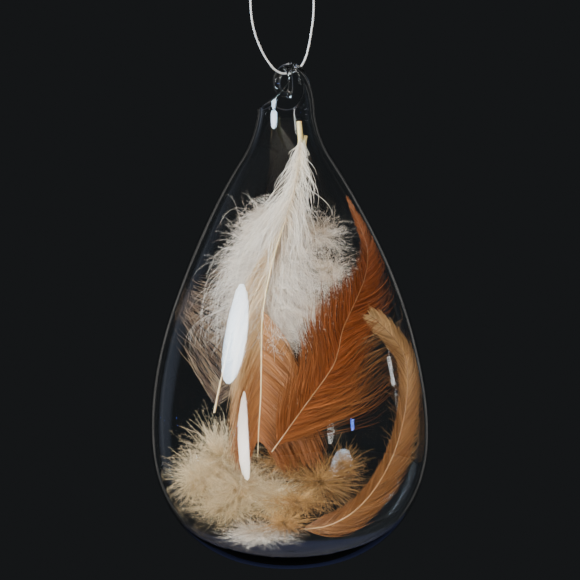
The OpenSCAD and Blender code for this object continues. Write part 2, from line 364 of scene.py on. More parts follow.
def makeGlassHook():
    tubes = []
    for rod in (drawn["curl"], drawn["strand"]):
        radii = along(rod["radius"], np.linspace(0, 1, rod["rings"]))
        tubes.append((smoothLine(rod["line"], rod["rings"]), radii, rod["sides"]))
    bead = drawn["bead"]
    height = -bead["radius"] * np.cos(np.linspace(0, np.pi, bead["rings"]))
    ball = np.asarray(bead["at"]) + np.c_[0 * height, 0 * height, height]
    a = np.linspace(bead["poleGap"], np.pi - bead["poleGap"], bead["rings"])
    tubes.append((ball, bead["radius"] * np.sin(a), bead["sides"]))
    hook = placeMesh("glassHook", *joinTubes(tubes))
    melt = hook.modifiers.new("melt", "REMESH")  # runs the rods and the bead into one
    melt.mode = "VOXEL"
    melt.voxel_size = drawn["grain"] * mm
    ease = hook.modifiers.new("ease", "SMOOTH")
    ease.iterations = drawn["easing"]
    bpy.context.view_layer.update()
    flowed = bpy.data.meshes.new_from_object(hook.evaluated_get(bpy.context.evaluated_depsgraph_get()))
    hook.modifiers.clear()
    hook.data = flowed
    hook.data.name = "glassHook"
    hook.data.shade_smooth()
    return hook


glassMaterial = glassFinish()
for made, nodeName in ((makeGlassDrop(), "glass_drop"), (makeGlassHook(), "glass_hook")):
    made.data.materials.clear()
    made.data.materials.append(glassMaterial)
    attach(made, "drop")
    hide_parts(nodeName)
print("glass made")

# The thread is one loop of clear nylon, from the knot through the glass eye and back, in metres.
thread = {
    "turnDeg": 40, "diameter": 0.0006, "length": 0.113,
    "route": [(-0.00045, -0.0004), (-0.0018, -0.003), (-0.0045, -0.007), (-0.0078, -0.012),
              (-0.0102, -0.018), (-0.0115, -0.024), (-0.0117, -0.030), (-0.0107, -0.0365),
              (-0.0082, -0.042), (-0.0053, -0.0458), (-0.0027, -0.0479), (0, -0.0486), (0.0033, -0.048),
              (0.0065, -0.0463), (0.0085, -0.0436), (0.0098, -0.040), (0.0109, -0.0355), (0.0118, -0.030),
              (0.0117, -0.024), (0.0104, -0.018), (0.0078, -0.012), (0.0045, -0.007), (0.0018, -0.003),
              (0.00045, -0.0004)],
}


def nylonFinish():
    made, nodes, links, shader = newMaterial("clearNylon")
    tint = ramp(nodes, [(0.3, (0.74, 0.76, 0.78)), (0.7, (0.9, 0.91, 0.92))])
    links.new(noiseNode(nodes, links, 400), tint.inputs[0])
    links.new(tint.outputs[0], shader.inputs["Base Color"])
    shader.inputs["Roughness"].default_value = 0.22
    shader.inputs["Transmission Weight"].default_value = 0.35
    shader.inputs["Coat Weight"].default_value = 0.4
    return made


def makeThread():
    turn = math.radians(thread["turnDeg"])
    across = Vector((math.cos(turn), math.sin(turn), 0))
    data = bpy.data.curves.new("thread", "CURVE")
    data.dimensions = "3D"
    data.resolution_u = 10
    data.bevel_depth = thread["diameter"] / 2
    data.bevel_resolution = 4
    data.use_fill_caps = True
    spline = data.splines.new("BEZIER")
    spline.bezier_points.add(len(thread["route"]) - 1)
    for point, (out, up) in zip(spline.bezier_points, thread["route"]):
        point.co = across * out + Vector((0, 0, up))
        point.handle_left_type = point.handle_right_type = "AUTO"
    made = bpy.data.objects.new("thread", data)
    bpy.context.scene.collection.objects.link(made)
    return made, across


# Both strands go through an overhand knot and leave it as two short cut tails. Its points are in mm,
# as [along the loop's plane, out of it, up].
tied = {
    "wraps": 2.6, "wrapRadius": 0.82, "wrapSwell": 0.12, "wrapsFrom": 0.3, "wrapsRise": 2.1, "wrapRings": 120,
    "slant": [[-0.4, 0.9, 0.2], [0, 1.25, 1.3], [0.6, 0.7, 2.5]],
    "strandAside": 0.42, "strandUp": (-0.4, 0.6, 1.6, 2.6),
    "tailRoot": [[0.42, 0, 2.2], [0.5, 0, 2.9]], "tailFrom": 2.6, "tailHump": 0.1, "tailTwist": 0.25,
    "tail": 6.6, "tailLeanDeg": 30, "threadRadius": 0.3, "sides": 12, "rings": 24, "strandRings": 12,
}


def makeKnot(across):
    a = np.array(across)
    up = np.array([0, 0, 1.0])
    b = np.cross(up, a)

    def placed(p):
        return p[0] * a + p[1] * b + p[2] * up

    t = np.linspace(0, 1, tied["wrapRings"])[:, None]
    turn = 2 * np.pi * tied["wraps"] * t
    radius = tied["wrapRadius"] * (1 + tied["wrapSwell"] * np.sin(np.pi * t))
    height = tied["wrapsFrom"] + tied["wrapsRise"] * t
    lines = [radius * (np.cos(turn) * a + np.sin(turn) * b) + up * height]
    lines.append(smoothLine([placed(p) for p in tied["slant"]], tied["rings"]))
    lean = math.radians(tied["tailLeanDeg"])
    for side in (-1, 1):
        strand = [placed((side * tied["strandAside"], 0, h)) for h in tied["strandUp"]]
        lines.append(smoothLine(strand, tied["strandRings"]))
        end = tied["tail"] * (side * math.sin(lean) * a + math.cos(lean) * up)
        root = [placed((side * p[0], p[1], p[2])) for p in tied["tailRoot"]]
        half = up * (tied["tailFrom"] + tied["tailHump"]) + 0.5 * end + b * tied["tailTwist"] * side
        lines.append(smoothLine([*root, half, up * tied["tailFrom"] + end], tied["rings"]))
    tubes = [(line, np.full(len(line), tied["threadRadius"]), tied["sides"]) for line in lines]
    points, quads = joinTubes(tubes)
    return placeMesh("knot", points * mm, quads, inFrame=True)


nylon = nylonFinish()
threadCurve, threadAcross = makeThread()
knot = makeKnot(threadAcross)
for made, body, nodeName in ((threadCurve, "thread", "thread_loop"), (knot, "knot", "thread_knot")):
    made.data.materials.append(nylon)
    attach(made, body)
    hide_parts(nodeName)
print("thread tied")


# What a batch of barbs has unless its settings say otherwise, in mm and degrees. A [share, size] list
# runs along the shaft from its first point.
plainBarbs = {
    "steps": 8,                                    # points in each barb
    "scatter": 0.002, "uneven": 0.06, "stray": 3,  # how much places, lengths and angles vary
    "spread": [[0, 0], [1, 0]],                    # is added to the angles along the shaft
    "follow": 1,                                   # how far barbs bend as the shaft does
    "liftSpread": 4,                               # how far barbs stand off the vane
    "fluffy": 0, "fluffyAtRoot": 0.4,              # how far they roll off it, and the share at the root
    "curl": 0, "waves": 5,                         # how wavy each barb is
    "hang": 0,                                     # sag
    "cup": 0,                                      # how far tips stand off the vane, for 10 mm of width
    "shift": (0, 0, 0),                            # moves the roots
    "lowest": None, "lowestSpread": 2,             # the height that no barb passes
    "leastLeft": 0.05,                             # and the share of a barb that is always kept
    "clump": None, "pull": 0.5,                    # barbs in a clump, and how far their tips close up
    "tone": (0.5, 0.2), "toneShared": 0.4,         # each barb's tone, and how much a clump shares
    "taper": 0.15, "tilt": 12,                     # width at the tip, and how far ribbons tilt
    "fluff": None,
}


def clumped(lines, tone, share, pulls, s, rng):
    # Neighbouring barbs close up towards their tips, and share some of their tone.
    count = len(share)
    group = np.repeat(np.arange(count), rng.integers(*s["clump"], count))[:count]
    groups = group.max() + 1
    centre = np.array([share[group == g].mean() for g in range(groups)])[group]
    pull = s["pull"] * (0.5 + rng.random(groups)[group])
    lines = lines + ((centre - share) * pull)[:, None, None] * pulls
    shared = s["toneShared"]
    return lines, np.clip(tone * (1 - shared) + rng.random(groups)[group] * shared, 0, 1)


def growBarbs(shaft, tipward, face, side, settings, rng):
    # One side's barbs, as lines from the shaft outwards. tipward is 1 where the shaft's points run to
    # the feather's tip, and -1 where they run from it.
    s = {**plainBarbs, **settings}
    heading = unit(np.gradient(shaft, axis=0))
    sideways = unit(np.cross(np.broadcast_to(np.asarray(face, float), shaft.shape), heading))
    normal = np.cross(heading, sideways)
    shaftLength = np.linalg.norm(np.diff(shaft, axis=0), axis=1).sum()
    count, k = s["count"], s["steps"]
    share = np.linspace(*s["fromTo"], count) + rng.normal(0, s["scatter"], count)
    share = np.sort(np.clip(share, 0, 1))
    shares = np.linspace(0, 1, len(shaft))

    def read(table, where):
        return np.stack([np.interp(where, shares, table[:, i]) for i in range(3)], axis=-1)

    width = along(s["width"], share) * (1 + rng.normal(0, s["uneven"], count))
    v = np.linspace(0, 1, k)[None, :]
    a0, a1 = np.radians(s["angles"][0]), np.radians(s["angles"][1])
    leaning = np.radians(rng.normal(0, s["stray"], count) + along(s["spread"], share))
    angle = a0 + (a1 - a0) * v + leaning[:, None]
    reach = width / np.maximum(np.sin(angle.mean(axis=1)), 0.3)
    ahead = share[:, None] + tipward * v * np.cos(angle) * reach[:, None] / shaftLength * s["follow"]
    ahead = np.clip(ahead, 0, 1)
    t, w, n = read(heading, ahead) * tipward, unit(read(sideways, ahead)) * side, unit(read(normal, ahead))
    lift = np.radians(rng.normal(0, s["liftSpread"], count))[:, None]
    roll = np.radians(rng.uniform(-1, 1, count) * s["fluffy"])[:, None]
    phase = rng.uniform(0, 2 * np.pi, (2, count, 1))
    curl = np.radians(s["curl"]) * v ** 0.7
    angle = angle + curl * np.sin(phase[0] + v * s["waves"])
    rolled = s["fluffyAtRoot"] + (1 - s["fluffyAtRoot"]) * v
    up = lift + roll * rolled + curl * np.sin(phase[1] + v * s["waves"] * 1.3)
    step = (np.cos(up) * np.cos(angle))[..., None] * t + (np.cos(up) * np.sin(angle))[..., None] * w
    step = step + np.sin(up)[..., None] * n
    step[..., 2] -= s["hang"] * v
    step = unit(step)
    root = read(shaft, share) + np.asarray(s["shift"])
    grown = np.concatenate([np.zeros((count, 1, 3)), np.cumsum(step[:, 1:], axis=1)], axis=1)
    grown = grown * (reach / (k - 1))[:, None, None]
    if s["lowest"] is not None:
        drop = -np.minimum(grown[:, :, 2].min(axis=1), -1e-6)
        room = root[:, 2] - s["lowest"] - rng.uniform(0, s["lowestSpread"], count)
        grown = grown * np.clip(room / drop, s["leastLeft"], 1)[:, None, None]
    lines = root[:, None] + grown
    lines = lines + n * (s["cup"] / 10 * v[..., None] ** 2 * width[:, None, None])
    tone = np.clip(rng.normal(*s["tone"], count), 0, 1)
    if s["clump"]:
        lines, tone = clumped(lines, tone, share, shaftLength * tipward * v[..., None] ** 2 * t, s, rng)
    return {"lines": inGlass(lines), "normals": n, "tone": tone, "share": share, "thick": s["thick"],
            "taper": s["taper"], "tilt": s["tilt"], "fluff": s["fluff"]}


def ribbons(batch, rng):
    # Each barb as a flat ribbon that narrows to its tip.
    lines = batch["lines"]
    count, k = lines.shape[:2]
    heading = unit(np.gradient(lines, axis=1))
    normal = batch["normals"] + rng.normal(0, np.sin(np.radians(batch["tilt"])), (count, 1, 3))
    flat = unit(np.cross(normal, heading))
    v = np.linspace(0, 1, k)
    half = batch["thick"] / 2 * (batch["taper"] + (1 - batch["taper"]) * (1 - v ** 3))
    points = np.stack([lines - flat * half[None, :, None], lines + flat * half[None, :, None]], axis=2)
    i, j = np.meshgrid(np.arange(count), np.arange(k - 1), indexing="ij")
    a = (i * k + j) * 2
    quads = np.stack([a, a + 1, a + 3, a + 2], -1).reshape(-1, 4)
    marks = {"tone": np.repeat(batch["tone"], k * 2), "share": np.repeat(batch["share"], k * 2),
             "out": np.tile(np.repeat(v, 2), count)}
    return points.reshape(-1, 3), quads, marks


# What a batch of fluff has unless its settings say otherwise.
plainFluff = {
    "forward": 0.7, "forwardVaries": (0.5, 1.3),   # how far slivers lean along their barb
    "from": 0.03,                                  # where on the barb they begin
    "bend": 0.5, "kink": 0.25,                     # what the second half of a sliver does
    "shortest": 0.55, "longer": 0.6, "shorterAtTip": 0.5,
    "waist": 0.7, "gap": 0.2,
}


def barbules(batch, settings, rng):
    # The fine fluff on each barb: slivers that stand off it all round.
    s = {**plainFluff, **settings}
    lines = batch["lines"]
    count, k = lines.shape[:2]
    which = np.repeat(np.arange(count), s["count"])
    total = len(which)
    v = rng.uniform(s["from"], 1, total)
    at = v * (k - 1)
    low = np.minimum(at.astype(int), k - 2)
    a, b = lines[which, low], lines[which, low + 1]
    root, heading = a + (b - a) * (at - low)[:, None], unit(b - a)
    around = unit(np.cross(heading, rng.normal(0, 1, (total, 3))))
    first = unit(around + heading * s["forward"] * rng.uniform(*s["forwardVaries"], (total, 1)))
    second = unit(first + heading * s["bend"] + rng.normal(0, s["kink"], (total, 3)))
    size = s["length"] * (s["shortest"] + s["longer"] * rng.random(total)) * (1 - s["shorterAtTip"] * v ** 2)
    middle = root + first * size[:, None] / 2
    tip = inGlass(middle + second * size[:, None] / 2, s["gap"])
    flat = unit(np.cross(first, rng.normal(0, 1, (total, 3)))) * (s["thick"] / 2)
    narrow = flat * s["waist"]
    points = np.stack([root - flat, root + flat, middle + narrow, middle - narrow, tip], axis=1)
    base = np.arange(total)[:, None] * 5
    quads = base + np.array([[0, 1, 2, 3]])
    triangles = base + np.array([[3, 2, 4]])
    tone = np.clip(batch["tone"][which] + rng.normal(0, 0.08, total), 0, 1)
    marks = {"tone": np.repeat(tone, 5), "share": np.repeat(batch["share"][which], 5), "out": np.repeat(v, 5)}
    return points.reshape(-1, 3), quads, triangles, marks


def feather(name, batches, finish, nodeName, seed):
    # One piece from batches of barbs. nodeName is None where another piece stands for the node.
    rng = np.random.default_rng(seed)
    points, quads, triangles, marks, first = [], [], [], {"tone": [], "share": [], "out": []}, 0
    for batch in batches:
        p, q, m = ribbons(batch, rng)
        points.append(p)
        quads.append(q + first)
        first += len(p)
        for key in marks:
            marks[key].append(m[key])
        if batch["fluff"]:
            p, q, t, m = barbules(batch, batch["fluff"], rng)
            points.append(p)
            quads.append(q + first)
            triangles.append(t + first)
            first += len(p)
            for key in marks:
                marks[key].append(m[key])
    made = placeMesh(name, np.concatenate(points), np.concatenate(quads),
                     np.concatenate(triangles) if triangles else (),
                     {key: np.concatenate(values) for key, values in marks.items()})
    made.data.materials.append(finish)
    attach(made, "drop")
    if nodeName:
        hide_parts(nodeName)
    print(name, sum(len(q) for q in quads) * 2 + sum(len(t) for t in triangles), "triangles")
    return made


def vaneFinish(name, shaftStops, tipStops, roughness=0.55, glow=0.3, bars=None, sheen=0.0):
    # Colour runs along the shaft and out along each barb, and each barb has a tone of its own.
    made, nodes, links, shader = newMaterial(name)
    byShare, byOut = ramp(nodes, shaftStops), ramp(nodes, tipStops)
    share, out = markNode(nodes, "share"), markNode(nodes, "out")
    wander = mathNode(nodes, links, "MULTIPLY_ADD", noiseNode(nodes, links, 120), 0.16, share)
    links.new(mathNode(nodes, links, "SUBTRACT", wander, 0.08), byShare.inputs[0])
    links.new(out, byOut.inputs[0])
    colour = mixNode(nodes, links, "MULTIPLY", 1, byShare.outputs[0], byOut.outputs[0])
    if bars:
        wave = mathNode(nodes, links, "MULTIPLY", share, bars["count"] * 2 * math.pi)
        lean = mathNode(nodes, links, "MULTIPLY_ADD", out, bars["lean"], wave)
        rough = mathNode(nodes, links, "MULTIPLY_ADD", noiseNode(nodes, links, 300), bars["ragged"], lean)
        sine = mathNode(nodes, links, "SINE", rough)
        cut = ramp(nodes, [(0.35, (0, 0, 0)), (0.65, (1, 1, 1))])
        links.new(mathNode(nodes, links, "MULTIPLY_ADD", sine, 0.5, 0.5), cut.inputs[0])
        colour = mixNode(nodes, links, "MIX", cut.outputs[0], colour, (*bars["colour"], 1))
    shade = ramp(nodes, [(0.0, (0.55, 0.52, 0.5)), (0.5, (1, 1, 1)), (1.0, (1.3, 1.3, 1.28))])
    links.new(markNode(nodes, "tone"), shade.inputs[0])
    toned = mixNode(nodes, links, "MULTIPLY", 1, colour, shade.outputs[0])
    links.new(toned, shader.inputs["Base Color"])
    worn = ramp(nodes, [(0.3, (roughness - 0.1,) * 3), (0.7, (roughness + 0.12,) * 3)])
    links.new(noiseNode(nodes, links, 250), worn.inputs[0])
    links.new(worn.outputs[0], shader.inputs["Roughness"])
    shader.inputs["Specular IOR Level"].default_value = 0.22
    shader.inputs["Sheen Weight"].default_value = sheen
    shader.inputs["Sheen Roughness"].default_value = 0.4
    # Light comes through the barbs too.
    through, mix = nodes.new("ShaderNodeBsdfTranslucent"), nodes.new("ShaderNodeMixShader")
    links.new(toned, through.inputs["Color"])
    mix.inputs[0].default_value = glow
    links.new(shader.outputs[0], mix.inputs[1])
    links.new(through.outputs[0], mix.inputs[2])
    links.new(mix.outputs[0], nodes["Material Output"].inputs["Surface"])
    return made


def quillFinish(name, stops):
    made, nodes, links, shader = newMaterial(name)
    tint = ramp(nodes, stops)
    share = markNode(nodes, "share")
    blend = mathNode(nodes, links, "MULTIPLY_ADD", noiseNode(nodes, links, 220), 0.4, share)
    links.new(mathNode(nodes, links, "SUBTRACT", blend, 0.2), tint.inputs[0])
    links.new(tint.outputs[0], shader.inputs["Base Color"])
    shader.inputs["Roughness"].default_value = 0.32
    shader.inputs["Coat Weight"].default_value = 0.2
    shader.inputs["Subsurface Weight"].default_value = 0.15
    shader.inputs["Subsurface Scale"].default_value = 0.001
    return made


paleHorn = quillFinish("paleHorn", [(0.0, (0.5, 0.37, 0.14)), (0.25, (0.58, 0.46, 0.26)),
                                    (1.0, (0.5, 0.34, 0.17))])
brownHorn = quillFinish("brownHorn", [(0.0, (0.11, 0.045, 0.018)), (0.5, (0.22, 0.11, 0.045)),
                                      (1.0, (0.34, 0.2, 0.1))])


def makeQuill(name, shaft, radii, nodeName, finish=paleHorn, sides=10):
    p, q = tubeSkin(inGlass(shaft), along(radii, np.linspace(0, 1, len(shaft))), sides)
    marks = {"share": np.repeat(np.r_[0, np.linspace(0, 1, len(shaft)), 1], sides)}
    made = placeMesh(name, p, q, marks=marks)
    made.data.materials.append(finish)
    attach(made, "drop")
    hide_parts(nodeName)
    return made


# The way each barb of a tuft grows, as shares of the tuft's own size.
looseBarb = {"steps": 10, "core": 0.15, "out": 0.5, "bent": 0.35, "shortest": 0.45, "swirl": 4, "turn": 6.28}


def tuft(centre, size, s, rng):
    # Loose down that grows outwards from a soft core, flattened to the size of its lump.
    count = s["count"]
    out = unit(rng.normal(0, 1, (count, 3)))
    bend = unit(out + rng.normal(0, s["bend"], (count, 3)))
    v = np.linspace(0, 1, looseBarb["steps"])[None, :, None]
    phase = rng.uniform(0, looseBarb["turn"], (3, count, 1, 1))[0]
    swirl = unit(np.cross(out, rng.normal(0, 1, (count, 3))))
    reach = rng.uniform(looseBarb["shortest"], 1.0, (count, 1, 1))
    path = out[:, None] * (looseBarb["core"] + looseBarb["out"] * v)
    path = path + bend[:, None] * looseBarb["bent"] * v * v
    path = path + swirl[:, None] * s["curl"] * np.sin(phase + looseBarb["swirl"] * v) * v
    lines = np.asarray(centre) + path * reach * np.asarray(size)
    normal = np.broadcast_to(unit(rng.normal(0, 1, (count, 3)))[:, None], lines.shape)
    return {"lines": inGlass(lines), "normals": normal, "tone": np.clip(rng.normal(0.5, 0.2, count), 0, 1),
            "share": np.clip(0.5 + 0.5 * out[:, 2], 0, 1), "thick": s["thick"], "taper": 0.3, "tilt": 30,
            "fluff": s["fluff"]}


# The white plume hangs from its cut quill in the neck: silky strings, then thick down, then a tan
# vane. Where the two sides differ, -1 is the left and 1 the right.
stringFluff = {"count": 26, "length": 0.8, "thick": 0.035, "forward": 1.8}
bodyFluff = {"count": 34, "length": 1.7, "thick": 0.04, "forward": 0.9}
plume = {
    "line": [[3.7, -1, 127.5], [3.9, -1.5, 120], [2, -2.5, 108], [-1, -4, 98], [-3, -5, 92], [-5.8, -7, 81],
             [-7.4, -9, 71], [-7.7, -11, 62], [-8, -13, 50], [-8.7, -14.5, 40], [-9, -15, 33]],
    "quill": [[0, 0.78], [0.1, 0.74], [0.2, 0.5], [0.3, 0.3], [0.7, 0.2], [1, 0.1]],
    "stub": [[5.6, 0.6, 123.5], [5.2, 1.2, 121], [4.8, 2.2, 118], [4.5, 3.4, 114]],
    "stubQuill": [[0, 0.52], [0.4, 0.55], [1, 0.25]],
    "face": (0, -1, 0),
    "strings": {
        "count": 200, "steps": 14, "fromTo": (0.055, 0.3),
        "width": [[0.055, 2.2], [0.1, 4], [0.16, 6.5], [0.24, 8.5], [0.3, 9]],
        "stray": 11, "curl": 24, "waves": 4, "fluffy": 45, "liftSpread": 20, "uneven": 0.35, "thick": 0.13,
        "taper": 0.3, "hang": 0.35, "clump": (3, 9), "pull": 0.6, "shift": (0, -0.9, 0), "fluff": stringFluff,
    },
    "stringsBySide": {-1: {"angles": (32, 14)}, 1: {"angles": (48, 10)}},
    "down": {
        "steps": 12, "angles": (66, 48), "stray": 24, "curl": 48, "waves": 6, "fluffy": 34, "liftSpread": 16,
        "uneven": 0.28, "hang": 0.25, "thick": 0.06, "taper": 0.3, "clump": (4, 14), "pull": 0.6, "follow": 0,
        "lowest": 60, "lowestSpread": 8, "fluff": bodyFluff,
    },
    "downBySide": {
        -1: {"fromTo": (0.24, 0.62), "width": [[0.24, 9], [0.34, 14], [0.42, 15], [0.52, 13], [0.62, 9]]},
        1: {"fromTo": (0.24, 0.72), "width": [[0.24, 7], [0.34, 14], [0.45, 20], [0.6, 20], [0.72, 14]]},
    },
    "downLayers": [(2.2, 620), (4.4, 520)],  # how far back, and barbs in each
    "cloud": {"count": 230, "bend": 1.1, "curl": 0.28, "thick": 0.06, "fluff": bodyFluff},
    "cloudLumps": [([-7, 0, 100], [10, 5, 7]), ([-10, 1, 95], [12, 6, 9]), ([9, 0, 95], [14, 7, 11]),
                   ([-13, 0, 86], [11, 7, 13]), ([12, -3, 84], [14, 8, 13]), ([5, -5, 73], [14, 7, 12]),
                   ([-2, 1, 90], [14, 6, 12])],
    "vane": {
        "count": 760, "steps": 9, "stray": 3, "liftSpread": 5, "uneven": 0.1, "cup": -0.8, "curl": 3,
        "thick": 0.19, "taper": 0.15, "clump": (4, 18), "pull": 0.4, "lowest": 28, "lowestSpread": 5,
    },
    "vaneBySide": {
        -1: {"fromTo": (0.33, 0.95), "angles": (30, 10),
             "width": [[0.33, 5], [0.42, 9], [0.7, 7.5], [0.95, 6]]},
        1: {"fromTo": (0.58, 0.95), "angles": (56, 20),
            "width": [[0.58, 8], [0.64, 13], [0.75, 19], [0.95, 17]]},
    },
}
downWhite = vaneFinish(
    "whiteDown", [(0, (0.8, 0.72, 0.62)), (0.45, (0.76, 0.68, 0.6)), (0.7, (0.62, 0.52, 0.42))],
    [(0, (0.95, 0.9, 0.82)), (0.4, (1, 1, 1)), (1, (0.93, 0.91, 0.9))], 0.7, 0.5, sheen=0.1)
tanVane = vaneFinish(
    "tanVane", [(0.5, (0.58, 0.45, 0.3)), (0.62, (0.36, 0.22, 0.105)), (0.74, (0.22, 0.095, 0.032)),
                (1, (0.18, 0.058, 0.016))],
    [(0, (1, 1, 1)), (1, (0.9, 0.78, 0.66))], 0.5)
tanDeep = vaneFinish(
    "tanDeep", [(0.5, (0.36, 0.19, 0.08)), (0.68, (0.22, 0.085, 0.027)), (1, (0.17, 0.055, 0.015))],
    [(0, (1.1, 1.1, 1.1)), (1, (0.9, 0.8, 0.7))], 0.5)

plumeShaft = smoothLine(plume["line"], 120)
makeQuill("plumeQuill", plumeShaft, plume["quill"], "plume_quill")
makeQuill("plumeStub", smoothLine(plume["stub"], 24), plume["stubQuill"], "plume_stub")
rng = np.random.default_rng(11)


def plumeBarbs(part, side, **more):
    settings = {**plume[part], **plume[part + "BySide"][side], **more}
    return growBarbs(plumeShaft, 1, plume["face"], side, settings, rng)


strings = [plumeBarbs("strings", side) for side in (-1, 1)]
feather("plumeStrings", strings, downWhite, None, 20)
for side, name, nodeName in ((-1, "plumeDownLeft", None), (1, "plumeDownRight", "plume_down")):
    layers = [plumeBarbs("down", side, count=count, shift=(0, back, 0))
              for back, count in plume["downLayers"]]
    feather(name, layers, downWhite, nodeName, 21 + side)
lumps = [tuft(centre, size, plume["cloud"], rng) for centre, size in plume["cloudLumps"]]
feather("plumeCloud", lumps, downWhite, None, 23)
for side, name, finish, nodeName in ((-1, "plumeVane", tanVane, "plume_vane"),
                                     (1, "plumeVaneDeep", tanDeep, None)):
    feather(name, [plumeBarbs("vane", side)], finish, nodeName, 24)
print("plume made")

# The rust feather leans on the right shoulder, tip up, and its quill ends low in the middle.
rust = {
    "line": [[16.6, -5, 106], [20, -6.2, 98], [22, -7.2, 92], [22.2, -10, 87], [20.8, -13, 81],
             [17.6, -17, 74], [14.8, -19.5, 68], [13.4, -21.5, 62], [11.2, -22.5, 57], [3, -24, 46],
             [-5, -23, 35]],
    "quill": [[0, 0.06], [0.4, 0.1], [0.8, 0.14], [1, 0.17]],
    "face": (0.5, -0.85, 0),
    "vane": {
        "count": 900, "steps": 9, "fromTo": (0.01, 0.97), "angles": (42, 24), "stray": 3.5, "liftSpread": 6,
        "uneven": 0.12, "cup": -1.2, "curl": 3, "thick": 0.19, "taper": 0.12, "clump": (4, 16),
    },
    "widths": {
        -1: [[0, 0.2], [0.1, 1], [0.2, 1.5], [0.4, 4], [0.6, 9], [0.8, 11], [0.96, 8]],
        1: [[0, 0.2], [0.1, 1.3], [0.2, 2.6], [0.4, 7], [0.55, 9.5], [0.7, 10], [0.85, 12], [0.96, 15]],
    },
    "comb": {
        "count": 100, "steps": 10, "fromTo": (0.6, 0.97), "width": [[0.6, 15], [0.75, 20], [0.97, 22]],
        "shift": (0, 1.2, 0), "angles": (52, 34), "stray": 5, "liftSpread": 7, "uneven": 0.12, "cup": -1.2,
        "curl": 4, "thick": 0.12, "taper": 0.3,
        "fluff": {"count": 14, "length": 0.45, "thick": 0.03, "forward": 2},
    },
}
rustVane = vaneFinish(
    "rustVane", [(0, (0.2, 0.07, 0.028)), (0.3, (0.13, 0.034, 0.01)), (0.6, (0.19, 0.052, 0.014)),
                 (1, (0.22, 0.075, 0.022))],
    [(0, (1.0, 0.95, 0.9)), (0.6, (1, 1, 1)), (1, (0.8, 0.85, 0.9))], 0.45)


def vaneSides(part, shaft):
    # Both sides of a feather whose shaft's points start at its tip.
    return [growBarbs(shaft, -1, part["face"], side, {**part["vane"], "width": part["widths"][side]}, rng)
            for side in (-1, 1)]


rustShaft = smoothLine(rust["line"], 140)
makeQuill("rustQuill", rustShaft, rust["quill"], "rust_quill", brownHorn)
rustBatches = vaneSides(rust, rustShaft)
combBatch = growBarbs(rustShaft, -1, rust["face"], 1, rust["comb"], rng)
feather("rustComb", [combBatch], tanVane, None, 33)
feather("rustVane", rustBatches, rustVane, "rust_vane", 25)
print("rust feather made")

# The sickle feather is folded over near its tip and lies along the right wall.
sickle = {
    "line": [[22.5, -16, 72], [26.8, -13.5, 68], [30.6, -10, 63.5], [32.6, -8.5, 59.5], [33.2, -9, 54],
             [32.6, -10, 47], [30.8, -12.5, 39], [27.6, -15, 31], [22.8, -18, 23.5], [16.6, -19.5, 17.5],
             [9.6, -19, 14], [2.6, -17.5, 13]],
    "quill": [[0, 0.08], [0.3, 0.14], [1, 0.18]],
    "face": (0.3, -0.95, 0),
    "vane": {
        "count": 760, "steps": 9, "fromTo": (0.0, 0.99), "angles": (32, 14), "stray": 2.5, "liftSpread": 5,
        "uneven": 0.08, "cup": -0.8, "thick": 0.19, "taper": 0.15, "clump": (6, 30), "pull": 0.15,
    },
    "widths": {
        -1: [[0, 0.5], [0.04, 1.8], [0.12, 3], [0.35, 2.4], [0.6, 2.2], [0.8, 2.6], [1, 3]],
        1: [[0, 0.5], [0.04, 1.8], [0.12, 2.8], [0.35, 3.4], [0.6, 4.4], [0.8, 5.6], [1, 5.6]],
    },
}
goldenVane = vaneFinish(
    "goldenVane", [(0, (0.42, 0.27, 0.13)), (0.2, (0.34, 0.19, 0.08)), (0.35, (0.2, 0.098, 0.038)),
                   (0.6, (0.17, 0.074, 0.025)), (1, (0.16, 0.064, 0.02))],
    [(0, (1, 1, 1)), (1, (0.85, 0.8, 0.75))], 0.45)
sickleShaft = smoothLine(sickle["line"], 150)
makeQuill("sickleQuill", sickleShaft, sickle["quill"], "sickle_quill", brownHorn)
feather("sickleVane", vaneSides(sickle, sickleShaft), goldenVane, "sickle_vane", 26)
print("sickle feather made")

# The speckled feather stands at the back on the left.
speckled = {
    "line": [[-11, 4, 90], [-13.5, 5, 82], [-15.2, 6, 75], [-17.4, 7, 64], [-20, 7.5, 53], [-22, 7, 44]],
    "quill": [[0, 0.12], [0.5, 0.24], [1, 0.34]],
    "face": (-0.3, -0.95, 0),
    "vane": {
        "count": 220, "steps": 9, "fromTo": (0.02, 0.95), "angles": (58, 44),
        "spread": [[0, 60], [0.45, 30], [0.7, 0], [1, -8]], "follow": 0, "stray": 5, "curl": 8,
        "liftSpread": 8, "uneven": 0.12, "thick": 0.2, "taper": 0.2, "clump": (3, 10), "pull": 0.4,
        "fluff": {"count": 18, "length": 0.7, "thick": 0.035, "forward": 1.4},
    },
    "widths": {-1: [[0, 6], [0.3, 14.5], [0.6, 17.5], [1, 11]], 1: [[0, 2], [0.4, 6], [1, 4]]},
}
speckledVane = vaneFinish(
    "speckledVane", [(0, (0.2, 0.135, 0.085)), (0.5, (0.14, 0.083, 0.045)), (1, (0.17, 0.11, 0.065))],
    [(0, (1, 1, 1)), (1, (0.8, 0.8, 0.8))], 0.6,
    bars={"count": 5, "lean": 7, "ragged": 5, "colour": (0.07, 0.04, 0.025)})
speckledShaft = smoothLine(speckled["line"], 80)
makeQuill("speckledQuill", speckledShaft, speckled["quill"], "speckled_quill")
feather("speckledVane", vaneSides(speckled, speckledShaft), speckledVane, "speckled_vane", 27)
print("speckled feather made")

